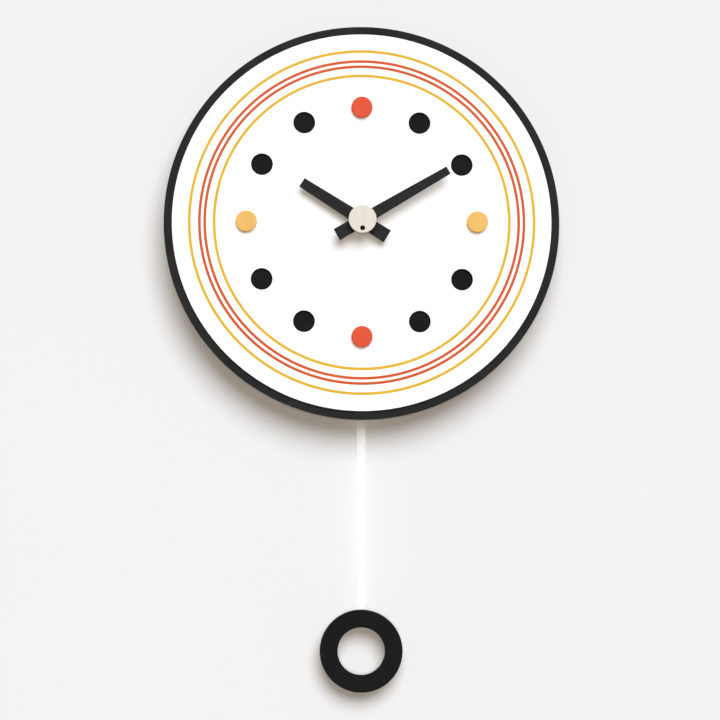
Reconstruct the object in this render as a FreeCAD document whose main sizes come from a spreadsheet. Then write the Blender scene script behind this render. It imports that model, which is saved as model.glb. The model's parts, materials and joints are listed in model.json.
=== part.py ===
import FreeCAD, Part
import Sketcher
import math
import os

V = FreeCAD.Vector

# Pendulum wall clock, millimetres.
# Frame: the wall is the plane Y = 0, the dial faces -Y, +Z is up, +X is to the
# right of somebody reading the dial. The origin is the centre of the hanging hole.
# "depth" is the distance in front of the wall (depth = -Y), "w" is the height
# above the centre of the dial.

doc = FreeCAD.newDocument("pendulum_wall_clock")
sheet = doc.addObject("Spreadsheet::Sheet", "dims")

SIZES = [
    ("centre_z", -36.0, "height of the dial centre below the hanging hole, negative"),
    ("board_radius", 150.0, "black back board"),
    ("board_back", 25.0, "depth of the board's rear face"),
    ("board_thick", 5.0, ""),
    ("panel_radius", 143.8, "white dial panel"),
    ("panel_thick", 2.0, ""),
    ("bush_clear_radius", 4.3, "centre hole of board and panel"),
    ("dot_radius", 8.2, "round hour openings in the panel"),
    ("dot_circle", 87.5, "radius on which the hour dots lie"),
    ("disc_radius", 7.95, "raised coloured hour discs"),
    ("disc_thick", 3.6, ""),
    ("edge_round", 0.5, "small rounding on lacquered edges"),
    ("hand_thick", 0.6, ""),
    ("hour_depth", 39.6, "rear face of the hour hand"),
    ("hour_tip", 54.0, "reach of the hour hand"),
    ("hour_tail", 22.4, ""),
    ("hour_tip_width", 7.6, ""),
    ("hour_tail_width", 10.6, ""),
    ("hour_angle", 302.4, "clockwise from twelve"),
    ("minute_depth", 43.6, "rear face of the minute hand"),
    ("minute_tip", 75.5, ""),
    ("minute_tail", 22.4, ""),
    ("minute_tip_width", 6.3, ""),
    ("minute_tail_width", 9.7, ""),
    ("minute_angle", 59.6, ""),
    ("collar_length", 1.2, "collar behind each hand"),
    ("hour_collar_radius", 4.2, ""),
    ("minute_collar_radius", 3.2, ""),
    ("cap_radius", 10.5, "cream seconds disc in front of the hands"),
    ("cap_back", 46.0, "depth of its rear face"),
    ("cap_thick", 3.5, ""),
    ("cap_round", 0.35, ""),
    ("cap_dot_offset", 6.8, ""),
    ("cap_dot_radius", 1.9, ""),
    ("cap_dot_deep", 1.6, ""),
    ("tube_radius", 2.5, "hour tube, outside"),
    ("tube_bore", 1.8, ""),
    ("pipe_radius", 1.75, "minute pipe, outside"),
    ("pipe_bore", 0.68, ""),
    ("seconds_radius", 0.6, "seconds arbor"),
    ("run_gap", 0.05, "radial clearance of running fits"),
    ("bush_radius", 4.0, "threaded bush"),
    ("bush_front", 36.0, ""),
    ("bush_flange_radius", 6.0, ""),
    ("washer_radius", 8.0, ""),
    ("washer_thick", 0.6, ""),
    ("nut_flats", 11.0, ""),
    ("nut_thick", 2.4, ""),
    ("gasket_radius", 14.0, ""),
    ("gasket_hole", 6.3, ""),
    ("case_half", 28.0, "half width of the movement case"),
    ("case_top", 28.0, "above the dial centre"),
    ("case_bottom", 82.0, "below the dial centre"),
    ("case_split", 12.0, "depth of the joint between the two shells"),
    ("case_front", 24.0, "depth of the front plate's outside"),
    ("case_wall", 1.5, ""),
    ("case_corner", 4.0, ""),
    ("tab_radius", 8.0, "hanging tab"),
    ("tab_thick", 3.0, ""),
    ("hang_radius", 3.0, "hanging hole"),
    ("bay_low", -33.0, "battery bay, inside"),
    ("bay_high", -18.0, ""),
    ("bay_deep", 15.6, ""),
    ("bay_wall", 1.0, ""),
    ("cell_radius", 7.2, "AA cell"),
    ("cell_depth", 8.0, ""),
    ("cell_left", -24.0, ""),
    ("cell_length", 48.4, ""),
    ("cell_nub_radius", 2.75, ""),
    ("cell_nub_length", 1.0, ""),
    ("well_radius", 7.5, "well of the setting knob"),
    ("well_deep", 3.6, ""),
    ("knob_radius", 6.2, ""),
    ("knob_x", 12.96, ""),
    ("knob_w", 10.87, ""),
    ("screw_x", 23.4, "case screws"),
    ("screw_high", 24.2, ""),
    ("screw_low", -78.2, ""),
    ("screw_radius", 1.0, ""),
    ("screw_head", 2.1, ""),
    ("post_radius", 3.0, ""),
    ("pivot_w", -39.0, "pivot of the pendulum, below the dial centre"),
    ("pivot_radius", 1.0, ""),
    ("arm_back", 8.6, ""),
    ("arm_thick", 2.5, ""),
    ("arm_width", 8.0, ""),
    ("arm_foot_width", 5.5, ""),
    ("arm_bottom", -92.0, ""),
    ("magnet_radius", 5.0, ""),
    ("magnet_w", -62.0, ""),
    ("rod_back", 11.4, ""),
    ("rod_thick", 1.6, ""),
    ("rod_width", 6.3, ""),
    ("rod_top", -84.8, ""),
    ("rod_bottom", -302.2, ""),
    ("hook_w", -88.5, ""),
    ("bob_w", -323.7, "centre of the ring bob"),
    ("bob_radius", 31.2, ""),
    ("bob_hole", 17.85, ""),
    ("bob_thick", 5.0, ""),
    ("bob_round", 0.8, ""),
]
for i, (alias, value, note) in enumerate(SIZES, start=1):
    sheet.set("A%d" % i, alias)
    sheet.set("B%d" % i, repr(value))
    if note:
        sheet.set("C%d" % i, note)
    sheet.setAlias("B%d" % i, alias)
doc.recompute()


class Q:
    """A number together with the sheet expression that gives it."""

    def __init__(self, value, text):
        self.v = float(value)
        self.t = text

    @staticmethod
    def of(o):
        if isinstance(o, Q):
            return o
        o = float(o)
        return Q(o, repr(o) if o >= 0 else "(%r)" % o)

    def __add__(self, o):
        o = Q.of(o)
        return Q(self.v + o.v, "(%s + %s)" % (self.t, o.t))

    def __radd__(self, o):
        return Q.of(o) + self

    def __sub__(self, o):
        o = Q.of(o)
        return Q(self.v - o.v, "(%s - %s)" % (self.t, o.t))

    def __rsub__(self, o):
        return Q.of(o) - self

    def __mul__(self, o):
        o = Q.of(o)
        return Q(self.v * o.v, "(%s * %s)" % (self.t, o.t))

    def __rmul__(self, o):
        return Q.of(o) * self

    def __truediv__(self, o):
        o = Q.of(o)
        return Q(self.v / o.v, "(%s / %s)" % (self.t, o.t))

    def __neg__(self):
        return Q(-self.v, "(0 - %s)" % self.t)


def d(alias):
    return Q(sheet.get(alias), "dims." + alias)


def num(q):
    return q.v if isinstance(q, Q) else float(q)


def bind(obj, prop, q):
    """Drive a property from the sheet, or set it when it is a plain number."""
    if isinstance(q, Q):
        obj.setExpression(prop, q.t)


ZC = d("centre_z")
OUT = []


def node(obj, label):
    obj.Label = label
    OUT.append((label, obj))
    return obj


# ---------------------------------------------------------------- primitives
count = [0]


def uid(kind):
    count[0] += 1
    return "%s_%03d" % (kind, count[0])


def place(obj, x, depth, w, rotation):
    obj.Placement = FreeCAD.Placement(V(num(x), -num(depth), num(ZC) + num(w)), rotation)
    bind(obj, "Placement.Base.x", Q.of(x))
    bind(obj, "Placement.Base.y", -Q.of(depth))
    bind(obj, "Placement.Base.z", ZC + w)


def cyl(radius, d0, d1, x=0.0, w=0.0, name=None):
    """Cylinder along Y from depth d0 to depth d1."""
    o = doc.addObject("Part::Cylinder", name or uid("round"))
    length = Q.of(d1) - d0
    o.Radius = num(radius)
    o.Height = length.v
    bind(o, "Radius", Q.of(radius))
    bind(o, "Height", length)
    place(o, x, d0, w, FreeCAD.Rotation(V(1, 0, 0), 90))
    return o


def bar(radius, x0, x1, depth, w, name=None):
    """Cylinder along X from x0 to x1."""
    o = doc.addObject("Part::Cylinder", name or uid("rod"))
    length = Q.of(x1) - x0
    o.Radius = num(radius)
    o.Height = length.v
    bind(o, "Radius", Q.of(radius))
    bind(o, "Height", length)
    place(o, x0, depth, w, FreeCAD.Rotation(V(0, 1, 0), 90))
    return o


def column(radius, w0, w1, x, depth, name=None):
    """Cylinder along Z from w0 to w1."""
    o = doc.addObject("Part::Cylinder", name or uid("col"))
    length = Q.of(w1) - w0
    o.Radius = num(radius)
    o.Height = length.v
    bind(o, "Radius", Q.of(radius))
    bind(o, "Height", length)
    place(o, x, depth, w0, FreeCAD.Rotation())
    return o


def block(x0, x1, d0, d1, w0, w1, name=None):
    o = doc.addObject("Part::Box", name or uid("block"))
    for prop, q in (("Length", Q.of(x1) - x0), ("Width", Q.of(d1) - d0), ("Height", Q.of(w1) - w0)):
        setattr(o, prop, q.v)
        bind(o, prop, q)
    place(o, x0, d1, w0, FreeCAD.Rotation())
    return o


def fuse(*shapes, name=None):
    o = doc.addObject("Part::MultiFuse", name or uid("joined"))
    o.Shapes = list(shapes)
    o.Refine = True
    return o


def cut(base, *tools, name=None):
    o = doc.addObject("Part::Cut", name or uid("cut"))
    o.Base = base
    o.Tool = tools[0] if len(tools) == 1 else fuse(*tools)
    o.Refine = True
    return o


def group(*shapes, name=None):
    o = doc.addObject("Part::Compound", name or uid("group"))
    o.Links = list(shapes)
    return o


def round_edges(base, size, pick, name=None):
    """Part::Fillet on the edges that pick(edge) chooses."""
    doc.recompute()
    o = doc.addObject("Part::Fillet", name or uid("rounded"))
    o.Base = base
    o.Edges = [(i + 1, num(size), num(size)) for i, e in enumerate(base.Shape.Edges) if pick(e)]
    return o


# ---------------------------------------------------------------- bodies made from sketches
class Body:
    def __init__(self, label, angle=None):
        self.b = doc.addObject("PartDesign::Body", label)
        rot = FreeCAD.Rotation(V(0, 1, 0), num(angle)) if angle is not None else FreeCAD.Rotation()
        self.b.Placement = FreeCAD.Placement(V(0, 0, num(ZC)), rot)
        bind(self.b, "Placement.Base.z", ZC)
        if angle is not None:
            bind(self.b, "Placement.Rotation.Angle", angle)
        self.label = label
        node(self.b, label)
        self.n = 0

    def plane(self, role):
        return [f for f in self.b.Origin.OriginFeatures if f.Role == role][0]

    def sketch(self, depth=None, role="XZ_Plane"):
        self.n += 1
        s = self.b.newObject("Sketcher::SketchObject", "%s_sketch_%d" % (self.label, self.n))
        s.AttachmentSupport = (self.plane(role), [""])
        s.MapMode = "FlatFace"
        if depth is not None:
            s.AttachmentOffset = FreeCAD.Placement(V(0, 0, num(depth)), FreeCAD.Rotation())
            bind(s, "AttachmentOffset.Base.z", Q.of(depth))
        return s

    def pad(self, s, length):
        doc.recompute()
        p = self.b.newObject("PartDesign::Pad", "%s_pad_%d" % (self.label, self.n))
        p.Profile = s
        p.Length = num(length)
        bind(p, "Length", Q.of(length))
        s.Visibility = False
        doc.recompute()
        return p

    def pocket(self, s, length, reverse=False):
        """Cuts from the sketch towards the wall, or towards the reader with reverse."""
        doc.recompute()
        before = self.b.Shape.Volume
        p = self.b.newObject("PartDesign::Pocket", "%s_pocket_%d" % (self.label, self.n))
        p.Profile = s
        p.Length = num(length)
        p.Reversed = reverse
        bind(p, "Length", Q.of(length))
        doc.recompute()
        if not self.b.Shape.Volume < before - 1e-6:
            raise RuntimeError("pocket %s removes nothing" % p.Name)
        return p

    def revolve(self, s, axis="V_Axis"):
        doc.recompute()
        r = self.b.newObject("PartDesign::Revolution", "%s_turned_%d" % (self.label, self.n))
        r.Profile = s
        r.ReferenceAxis = (s, [axis])
        r.Angle = 360
        doc.recompute()
        return r

    def polar(self, feats, s, n):
        p = self.b.newObject("PartDesign::PolarPattern", "%s_pattern_%d" % (self.label, self.n))
        p.Originals = feats
        p.Axis = (s, ["N_Axis"])
        p.Angle = 360
        p.Occurrences = n
        self.b.Tip = p
        doc.recompute()
        return p

    def _edges(self, pick):
        doc.recompute()
        tip = self.b.Tip
        names = ["Edge%d" % (i + 1) for i, e in enumerate(tip.Shape.Edges) if pick(e)]
        if not names:
            raise RuntimeError("no edge chosen on " + self.label)
        return tip, names

    def fillet(self, size, pick):
        tip, names = self._edges(pick)
        f = self.b.newObject("PartDesign::Fillet", "%s_fillet_%d_%d" % (self.label, self.n, len(names)))
        f.Base = (tip, names)
        f.Radius = num(size)
        bind(f, "Radius", Q.of(size))
        doc.recompute()
        return f

    def chamfer(self, size, pick):
        tip, names = self._edges(pick)
        f = self.b.newObject("PartDesign::Chamfer", "%s_chamfer_%d_%d" % (self.label, self.n, len(names)))
        f.Base = (tip, names)
        f.Size = num(size)
        bind(f, "Size", Q.of(size))
        doc.recompute()
        return f


def pin_point(s, geo, pos, x, w):
    """Fix one sketch point from the sketch origin, bound to the sheet."""
    for kind, q, axis in (("DistanceX", Q.of(x), -2), ("DistanceY", Q.of(w), -1)):
        if abs(q.v) < 1e-9:
            s.addConstraint(Sketcher.Constraint("PointOnObject", geo, pos, axis))
        else:
            c = s.addConstraint(Sketcher.Constraint(kind, -1, 1, geo, pos, q.v))
            if "dims." in q.t:
                s.setExpression("Constraints[%d]" % c, q.t)


def circle(s, radius, x=0.0, w=0.0):
    g = s.addGeometry(Part.Circle(V(num(x), num(w), 0), V(0, 0, 1), num(radius)), False)
    if num(x) == 0 and num(w) == 0:
        s.addConstraint(Sketcher.Constraint("Coincident", g, 3, -1, 1))
    else:
        pin_point(s, g, 3, x, w)
    c = s.addConstraint(Sketcher.Constraint("Radius", g, num(radius)))
    r = Q.of(radius)
    if "dims." in r.t:
        s.setExpression("Constraints[%d]" % c, r.t)
    return g


def outline(s, points):
    """Closed polygon through the given points."""
    n = len(points)
    ids = []
    for i in range(n):
        a, b = points[i], points[(i + 1) % n]
        ids.append(s.addGeometry(Part.LineSegment(V(num(a[0]), num(a[1]), 0), V(num(b[0]), num(b[1]), 0)), False))
    for i in range(n):
        s.addConstraint(Sketcher.Constraint("Coincident", ids[i], 2, ids[(i + 1) % n], 1))
    for i in range(n):
        pin_point(s, ids[i], 1, points[i][0], points[i][1])
    return ids


def rect(s, x0, x1, w0, w1):
    return outline(s, [(x0, w0), (x1, w0), (x1, w1), (x0, w1)])


def at_depth(depth, rmin=0.0, tol=0.01):
    """Chooses circular edges in the plane at that depth, at least rmin in radius."""
    def pick(e):
        c = e.Curve
        return (hasattr(c, "Radius") and c.Radius >= rmin
                and all(abs(v.Point.y + num(depth)) < tol for v in e.Vertexes))
    return pick


# ================================================================ face of the clock
board_front = d("board_back") + d("board_thick")
panel_front = board_front + d("panel_thick")

b = Body("back_board")
s = b.sketch(d("board_back")); circle(s, d("board_radius")); b.pad(s, d("board_thick"))
s = b.sketch(board_front); circle(s, d("bush_clear_radius")); b.pocket(s, d("board_thick") + 1)
b.fillet(d("edge_round"), lambda e: hasattr(e.Curve, "Radius") and e.Curve.Radius > 100)

b = Body("dial_panel")
s = b.sketch(board_front); circle(s, d("panel_radius")); b.pad(s, d("panel_thick"))
s = b.sketch(panel_front); circle(s, d("bush_clear_radius")); b.pocket(s, d("panel_thick") + 1)
s = b.sketch(panel_front)
for hour in (1, 2):
    a = math.radians(30.0 * hour)
    circle(s, d("dot_radius"), d("dot_circle") * math.sin(a), d("dot_circle") * math.cos(a))
p = b.pocket(s, d("panel_thick") + 1)
b.polar([p], s, 4)
b.fillet(0.4, lambda e: hasattr(e.Curve, "Radius") and e.Curve.Radius > 100
         and abs(e.Vertexes[0].Point.y + panel_front.v) < 0.01)


def hour_disc(hour):
    a = math.radians(30.0 * hour)
    c = cyl(d("disc_radius"), panel_front, panel_front + d("disc_thick"),
            d("dot_circle") * round(math.sin(a), 9), d("dot_circle") * round(math.cos(a), 9))
    return round_edges(c, 0.35, lambda e: hasattr(e.Curve, "Radius")
                       and abs(e.Vertexes[0].Point.y + (panel_front + d("disc_thick")).v) < 0.01)


node(group(hour_disc(12), hour_disc(6)), "red_hour_discs")
node(group(hour_disc(3), hour_disc(9)), "yellow_hour_discs")

# ================================================================ hands
def hand(label, depth, tip, tail, tip_width, tail_width, angle, collar, bore):
    b = Body(label, d(angle))
    s = b.sketch(d(depth))
    outline(s, [(-d(tail_width) / 2, -d(tail)), (d(tail_width) / 2, -d(tail)),
                (d(tip_width) / 2, d(tip)), (-d(tip_width) / 2, d(tip))])
    b.pad(s, d("hand_thick"))
    s = b.sketch(d(depth) - d("collar_length")); circle(s, d(collar)); b.pad(s, d("collar_length"))
    s = b.sketch(d(depth) + d("hand_thick")); circle(s, bore)
    b.pocket(s, d("hand_thick") + d("collar_length") + 1)


hand("hour_hand", "hour_depth", "hour_tip", "hour_tail", "hour_tip_width", "hour_tail_width",
     "hour_angle", "hour_collar_radius", d("tube_radius"))
hand("minute_hand", "minute_depth", "minute_tip", "minute_tail", "minute_tip_width", "minute_tail_width",
     "minute_angle", "minute_collar_radius", d("pipe_radius"))

# cream disc on the seconds arbor, with one dark dot that shows the running second
cap_front = d("cap_back") + d("cap_thick")
b = Body("seconds_disc")
s = b.sketch(d("cap_back")); circle(s, d("cap_radius")); b.pad(s, d("cap_thick"))
s = b.sketch(d("cap_back")); circle(s, 1.45); b.pocket(s, 2.2, reverse=True)
s = b.sketch(cap_front); circle(s, d("cap_dot_radius"), 0, -d("cap_dot_offset")); b.pocket(s, d("cap_dot_deep"))
b.fillet(d("cap_round"), lambda e: hasattr(e.Curve, "Radius") and abs(e.Curve.Radius - 10.5) < 0.01)

node(cyl(d("cap_dot_radius"), cap_front - d("cap_dot_deep"), cap_front - 0.12, 0, -d("cap_dot_offset")), "seconds_dot")
node(cut(cyl(1.45, 45.6, d("cap_back") + 2.2), cyl(d("seconds_radius"), 45.0, 49.0)), "seconds_collet")

# ================================================================ fixing stack
case_front = d("case_front")
node(cut(fuse(cyl(d("bush_radius"), case_front - d("case_wall"), d("bush_front")),
              cyl(d("bush_flange_radius"), case_front, d("board_back"))),
         cyl(d("tube_radius") + d("run_gap"), 20.0, 40.0)), "threaded_bush")
washer_front = panel_front + d("washer_thick")
node(cut(cyl(d("washer_radius"), panel_front, washer_front),
         cyl(d("bush_radius") + 0.05, panel_front - 1, washer_front + 1)), "flat_washer")
node(cut(cyl(d("gasket_radius"), case_front, d("board_back")),
         cyl(d("gasket_hole"), case_front - 1, d("board_back") + 1)), "rubber_washer")
b = Body("mounting_nut")
s = b.sketch(washer_front)
across = d("nut_flats") / math.sqrt(3.0)
outline(s, [(across * round(math.cos(math.radians(60 * k)), 9), across * round(math.sin(math.radians(60 * k)), 9))
            for k in range(6)])
b.pad(s, d("nut_thick"))
s = b.sketch(washer_front + d("nut_thick")); circle(s, d("bush_radius") + 0.02); b.pocket(s, d("nut_thick") + 1)

# ================================================================ movement case, front shell
half, top, low = d("case_half"), d("case_top"), -d("case_bottom")
wall, split = d("case_wall"), d("case_split")
inner = case_front - wall
b = Body("movement_front_case")
s = b.sketch(split); rect(s, -half, half, low, top); b.pad(s, case_front - split)
b.fillet(d("case_corner"), lambda e: len(e.Vertexes) == 2 and abs(e.Vertexes[0].Point.y - e.Vertexes[1].Point.y) > 5)
b.fillet(0.8, lambda e: all(abs(v.Point.y + case_front.v) < 0.01 for v in e.Vertexes))
s = b.sketch(inner); rect(s, -half + wall, half - wall, low + wall, top - wall); b.pocket(s, inner - split + 1)
# posts for the case screws
s = b.sketch(split)
for sx in (-1, 1):
    for sw in ("screw_high", "screw_low"):
        circle(s, d("post_radius"), d("screw_x") * sx, d(sw))
b.pad(s, inner - split + 0.5)
# posts under the gear train, pillars for the circuit board, boss of the pendulum pivot
PILLARS = [(-15.5, 13.5), (-14.0, -11.5), (0.5, -13.2), (6.5, 13.5)]
s = b.sketch(17.3)
for x, w in PILLARS:
    circle(s, 1.9, x, w)
b.pad(s, inner - 17.3 + 0.5)
s = b.sketch(14.0)
for w in (-12.0, 17.0):
    circle(s, 1.5, -22.4, w)
b.pad(s, inner - 14.0 + 0.5)
s = b.sketch(13.1); circle(s, 2.6, 0, d("pivot_w")); b.pad(s, inner - 13.1 + 0.5)
s = b.sketch(19.4); circle(s, 1.1, -7.79, 4.5); b.pad(s, inner - 19.4 + 0.5)
# holes: bush, arbor pivots, screws, pendulum pin
s = b.sketch(case_front + 1); circle(s, d("bush_radius")); b.pocket(s, 4)
s = b.sketch(split - 0.5)
for sx in (-1, 1):
    for sw in ("screw_high", "screw_low"):
        circle(s, d("screw_radius"), d("screw_x") * sx, d(sw))
b.pocket(s, 8.5, reverse=True)
s = b.sketch(13.0); circle(s, d("pivot_radius"), 0, d("pivot_w")); b.pocket(s, 9.0, reverse=True)
s = b.sketch(19.0); circle(s, 0.5, -7.79, 4.5); b.pocket(s, 2.5, reverse=True)
s = b.sketch(22.0); circle(s, 0.45, 8.457, 3.078); circle(s, 0.65, d("knob_x"), d("knob_w")); b.pocket(s, 1.4, reverse=True)

# ================================================================ movement case, rear shell
b = Body("movement_rear_case")
s = b.sketch(0.0); rect(s, -half, half, low, top); b.pad(s, split)
b.fillet(d("case_corner"), lambda e: len(e.Vertexes) == 2 and abs(e.Vertexes[0].Point.y - e.Vertexes[1].Point.y) > 5)
b.fillet(0.8, lambda e: all(abs(v.Point.y) < 0.01 for v in e.Vertexes))
s = b.sketch(wall); rect(s, -half + wall, half - wall, low + wall, top - wall); b.pocket(s, split, reverse=True)
# battery bay: a tub open towards the wall
bay_lo, bay_hi, bay_w = d("bay_low"), d("bay_high"), d("bay_wall")
tub = d("bay_deep") + bay_w
s = b.sketch(wall - 0.5); rect(s, -26.3, 26.3, bay_lo - bay_w, bay_hi + bay_w); b.pad(s, tub - wall + 0.5)
s = b.sketch(d("bay_deep")); rect(s, -26.3, 26.3, bay_lo, bay_hi); b.pocket(s, d("bay_deep") + 1)
s = b.sketch(d("bay_deep")); rect(s, -25.3, 25.3, bay_lo + 2.2, bay_hi - 2.2); b.pocket(s, 0.3, reverse=True)
# well of the setting knob
s = b.sketch(wall - 0.5); circle(s, d("well_radius") + 1, d("knob_x"), d("knob_w")); b.pad(s, d("well_deep") + 1 - wall + 0.5)
s = b.sketch(d("well_deep")); circle(s, d("well_radius"), d("knob_x"), d("knob_w")); b.pocket(s, d("well_deep") + 1)
s = b.sketch(d("well_deep") - 0.5); circle(s, 1.3, d("knob_x"), d("knob_w")); b.pocket(s, 3, reverse=True)
# screw bosses with counterbores, boss of the pendulum pivot
s = b.sketch(wall - 0.5)
for sx in (-1, 1):
    for sw in ("screw_high", "screw_low"):
        circle(s, d("post_radius"), d("screw_x") * sx, d(sw))
b.pad(s, split - wall + 0.5)
s = b.sketch(6.0)
for sx in (-1, 1):
    for sw in ("screw_high", "screw_low"):
        circle(s, d("screw_head") + 0.2, d("screw_x") * sx, d(sw))
b.pocket(s, 8)
s = b.sketch(split + 0.5)
for sx in (-1, 1):
    for sw in ("screw_high", "screw_low"):
        circle(s, d("screw_radius") + 0.15, d("screw_x") * sx, d(sw))
b.pocket(s, 8)
s = b.sketch(wall - 0.5); circle(s, 2.6, 0, d("pivot_w")); b.pad(s, 5.5)
s = b.sketch(6.8); circle(s, d("pivot_radius"), 0, d("pivot_w")); b.pocket(s, 5.0)
# slot for the pendulum arm in the bottom wall
s = b.sketch(7.4); rect(s, -11, 11, low - 1, low + wall + 1); b.pocket(s, 6, reverse=True)
# sound and stiffening slots in the lower back
s = b.sketch(wall + 0.5)
for k in range(5):
    rect(s, -9.0, 9.0, -73.5 + 5.0 * k, -72.1 + 5.0 * k)
b.pocket(s, 3)
# hanging tab
s = b.sketch(0.0); rect(s, -d("tab_radius"), d("tab_radius"), top - 2, -ZC); b.pad(s, d("tab_thick"))
s = b.sketch(0.0); circle(s, d("tab_radius"), 0, -ZC); b.pad(s, d("tab_thick"))
s = b.sketch(-0.5); circle(s, d("hang_radius"), 0, -ZC); b.pocket(s, 6, reverse=True)

screws = []
for sx in (-1, 1):
    for sw in ("screw_high", "screw_low"):
        head = cyl(d("screw_head"), 4.7, 6.0, d("screw_x") * sx, d(sw))
        shank = cyl(d("screw_radius"), 6.0, 19.0, d("screw_x") * sx, d(sw))
        slot_a = block(d("screw_x") * sx - 1.2, d("screw_x") * sx + 1.2, 4.6, 5.3, d(sw) - 0.22, d(sw) + 0.22)
        slot_b = block(d("screw_x") * sx - 0.22, d("screw_x") * sx + 0.22, 4.6, 5.3, d(sw) - 1.2, d(sw) + 1.2)
        screws.append(cut(fuse(head, shank), slot_a, slot_b))
node(group(*screws), "case_screws")

# ================================================================ plates of the gear train
knob_at = (d("knob_x"), d("knob_w"))
THIRD = (-7.794, 4.5)
MINUTE = (8.457, 3.078)
INTER = (3.5, -6.062)
ROTOR = (9.409, -7.104)

b = Body("middle_plate")
s = b.sketch(16.7)
outline(s, [(-17.8, -15.2), (12.6, -15.2), (12.6, 8.0), (10.0, 9.6), (10.0, 15.8), (-17.8, 15.8)])
b.pad(s, 0.6)
s = b.sketch(11.6)
for x, w in PILLARS:
    circle(s, 1.5, x, w)
b.pad(s, 5.3)
s = b.sketch(10.0)
for x, w in PILLARS:
    circle(s, 0.8, x, w)
b.pad(s, 1.8)
s = b.sketch(17.8)
circle(s, 0.9)
circle(s, 0.75, *THIRD)
for p in (INTER, ROTOR, MINUTE):
    circle(s, 0.45, *p)
b.pocket(s, 2)

b = Body("train_bridge")
s = b.sketch(10.4)
outline(s, [(-17.5, -13.5), (-12.5, -15.0), (11.0, -15.0), (12.6, -12.0), (12.6, 2.0), (9.5, 6.5), (9.0, 15.5), (-17.5, 15.5)])
b.pad(s, 1.2)
s = b.sketch(12.0)
for x, w in PILLARS:
    circle(s, 0.82, x, w)
circle(s, d("seconds_radius") + d("run_gap"))
circle(s, 0.5, *THIRD)
for p in (INTER, ROTOR):
    circle(s, 0.45, *p)
b.pocket(s, 3)
s = b.sketch(12.0); rect(s, -12.5, -4.0, -9.5, -4.5); b.pocket(s, 3)

# ================================================================ toothed wheels
def teeth(z, m, phase, d0, d1, x=0.0, w=0.0, thin=0.80, ad=0.85, de=1.25, kt=0.30, kr=0.12):
    """Toothed disc. Phase is the direction of one tooth's middle, in degrees from +X towards +Z."""
    rp = m * z / 2.0
    rt, rr = rp + ad * m, rp - de * m
    sp = math.pi * m / 4.0 * thin
    half_t, half_p = (sp - kt * ad * m) / rt, sp / rp
    half_r = min((sp + kr * de * m) / rr, math.pi / z * 0.96)
    pts = []
    for i in range(z):
        c = math.radians(phase) + 2 * math.pi * i / z
        for r, a in ((rr, -half_r), (rp, -half_p), (rt, -half_t), (rt, half_t), (rp, half_p), (rr, half_r)):
            pts.append(V(x + r * math.cos(c + a), -d0, w + r * math.sin(c + a)))
    pts.append(pts[0])
    return Part.Face(Part.makePolygon(pts)).extrude(V(0, -(d1 - d0), 0))


def turned(r, d0, d1, x=0.0, w=0.0):
    return Part.makeCylinder(r, d1 - d0, V(x, -d0, w), V(0, -1, 0))


def mesh_phase(beta, za, phase_a, zb):
    """Phase of wheel b that meshes with wheel a, b lying in direction beta from a."""
    pitch = 360.0 / za
    delta = (beta - phase_a) % pitch
    return beta + 180.0 + 180.0 / zb + delta * za / zb


def feature(label, shape):
    o = doc.addObject("Part::Feature", label)
    o.Shape = shape.removeSplitter()
    o.Placement = FreeCAD.Placement(V(0, 0, num(ZC)), FreeCAD.Rotation())
    bind(o, "Placement.Base.z", ZC)
    node(o, label)
    return o


def heading(a, b):
    return math.degrees(math.atan2(b[1] - a[1], b[0] - a[0]))


C = (0.0, 0.0)
KNOB = (d("knob_x").v, d("knob_w").v)
M_HOUR, M_MIN, M_CENTRE, M_THIRD, M_FAST = 0.3, 0.375, 0.25, 9.0 / 34.0, 0.2
tube_r, tube_b = d("tube_radius").v, d("tube_bore").v
pipe_r, pipe_b, sec_r = d("pipe_radius").v, d("pipe_bore").v, d("seconds_radius").v

# hands' motion work: 12 to 36 and 12 to 48, together 12 to 1
ph_cannon = 0.0
ph_minute = mesh_phase(heading(C, MINUTE), 12, ph_cannon, 36)
ph_minpin = 0.0
ph_hour = mesh_phase(heading(MINUTE, C), 12, ph_minpin, 48)
ph_knob = mesh_phase(heading(MINUTE, KNOB), 36, ph_minute, 12)
hour_end = 41.0
s = teeth(48, M_HOUR, ph_hour, 20.8, 22.0).fuse(turned(tube_r, 21.0, hour_end)).cut(turned(tube_b, 20.0, hour_end + 1))
feature("hour_wheel", s)
s = teeth(12, M_MIN, ph_cannon, 19.0, 20.2).fuse(turned(1.2, 17.4, 19.1)).fuse(turned(pipe_r, 20.1, 45.0))
feature("minute_pipe", s.cut(turned(pipe_b, 17.0, 46.0)))
s = teeth(36, M_MIN, ph_minute, 19.0, 20.2, *MINUTE).fuse(teeth(12, M_HOUR, ph_minpin, 20.1, 22.1, *MINUTE))
feature("minute_wheel", s.fuse(turned(0.4, 16.9, 23.0, *MINUTE)))
s = teeth(12, M_MIN, ph_knob, 18.8, 20.4, *KNOB).fuse(turned(1.2, 3.3, 19.0, *KNOB)).fuse(turned(0.6, 20.0, 23.0, *KNOB))
feature("setting_arbor", s)

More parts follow.
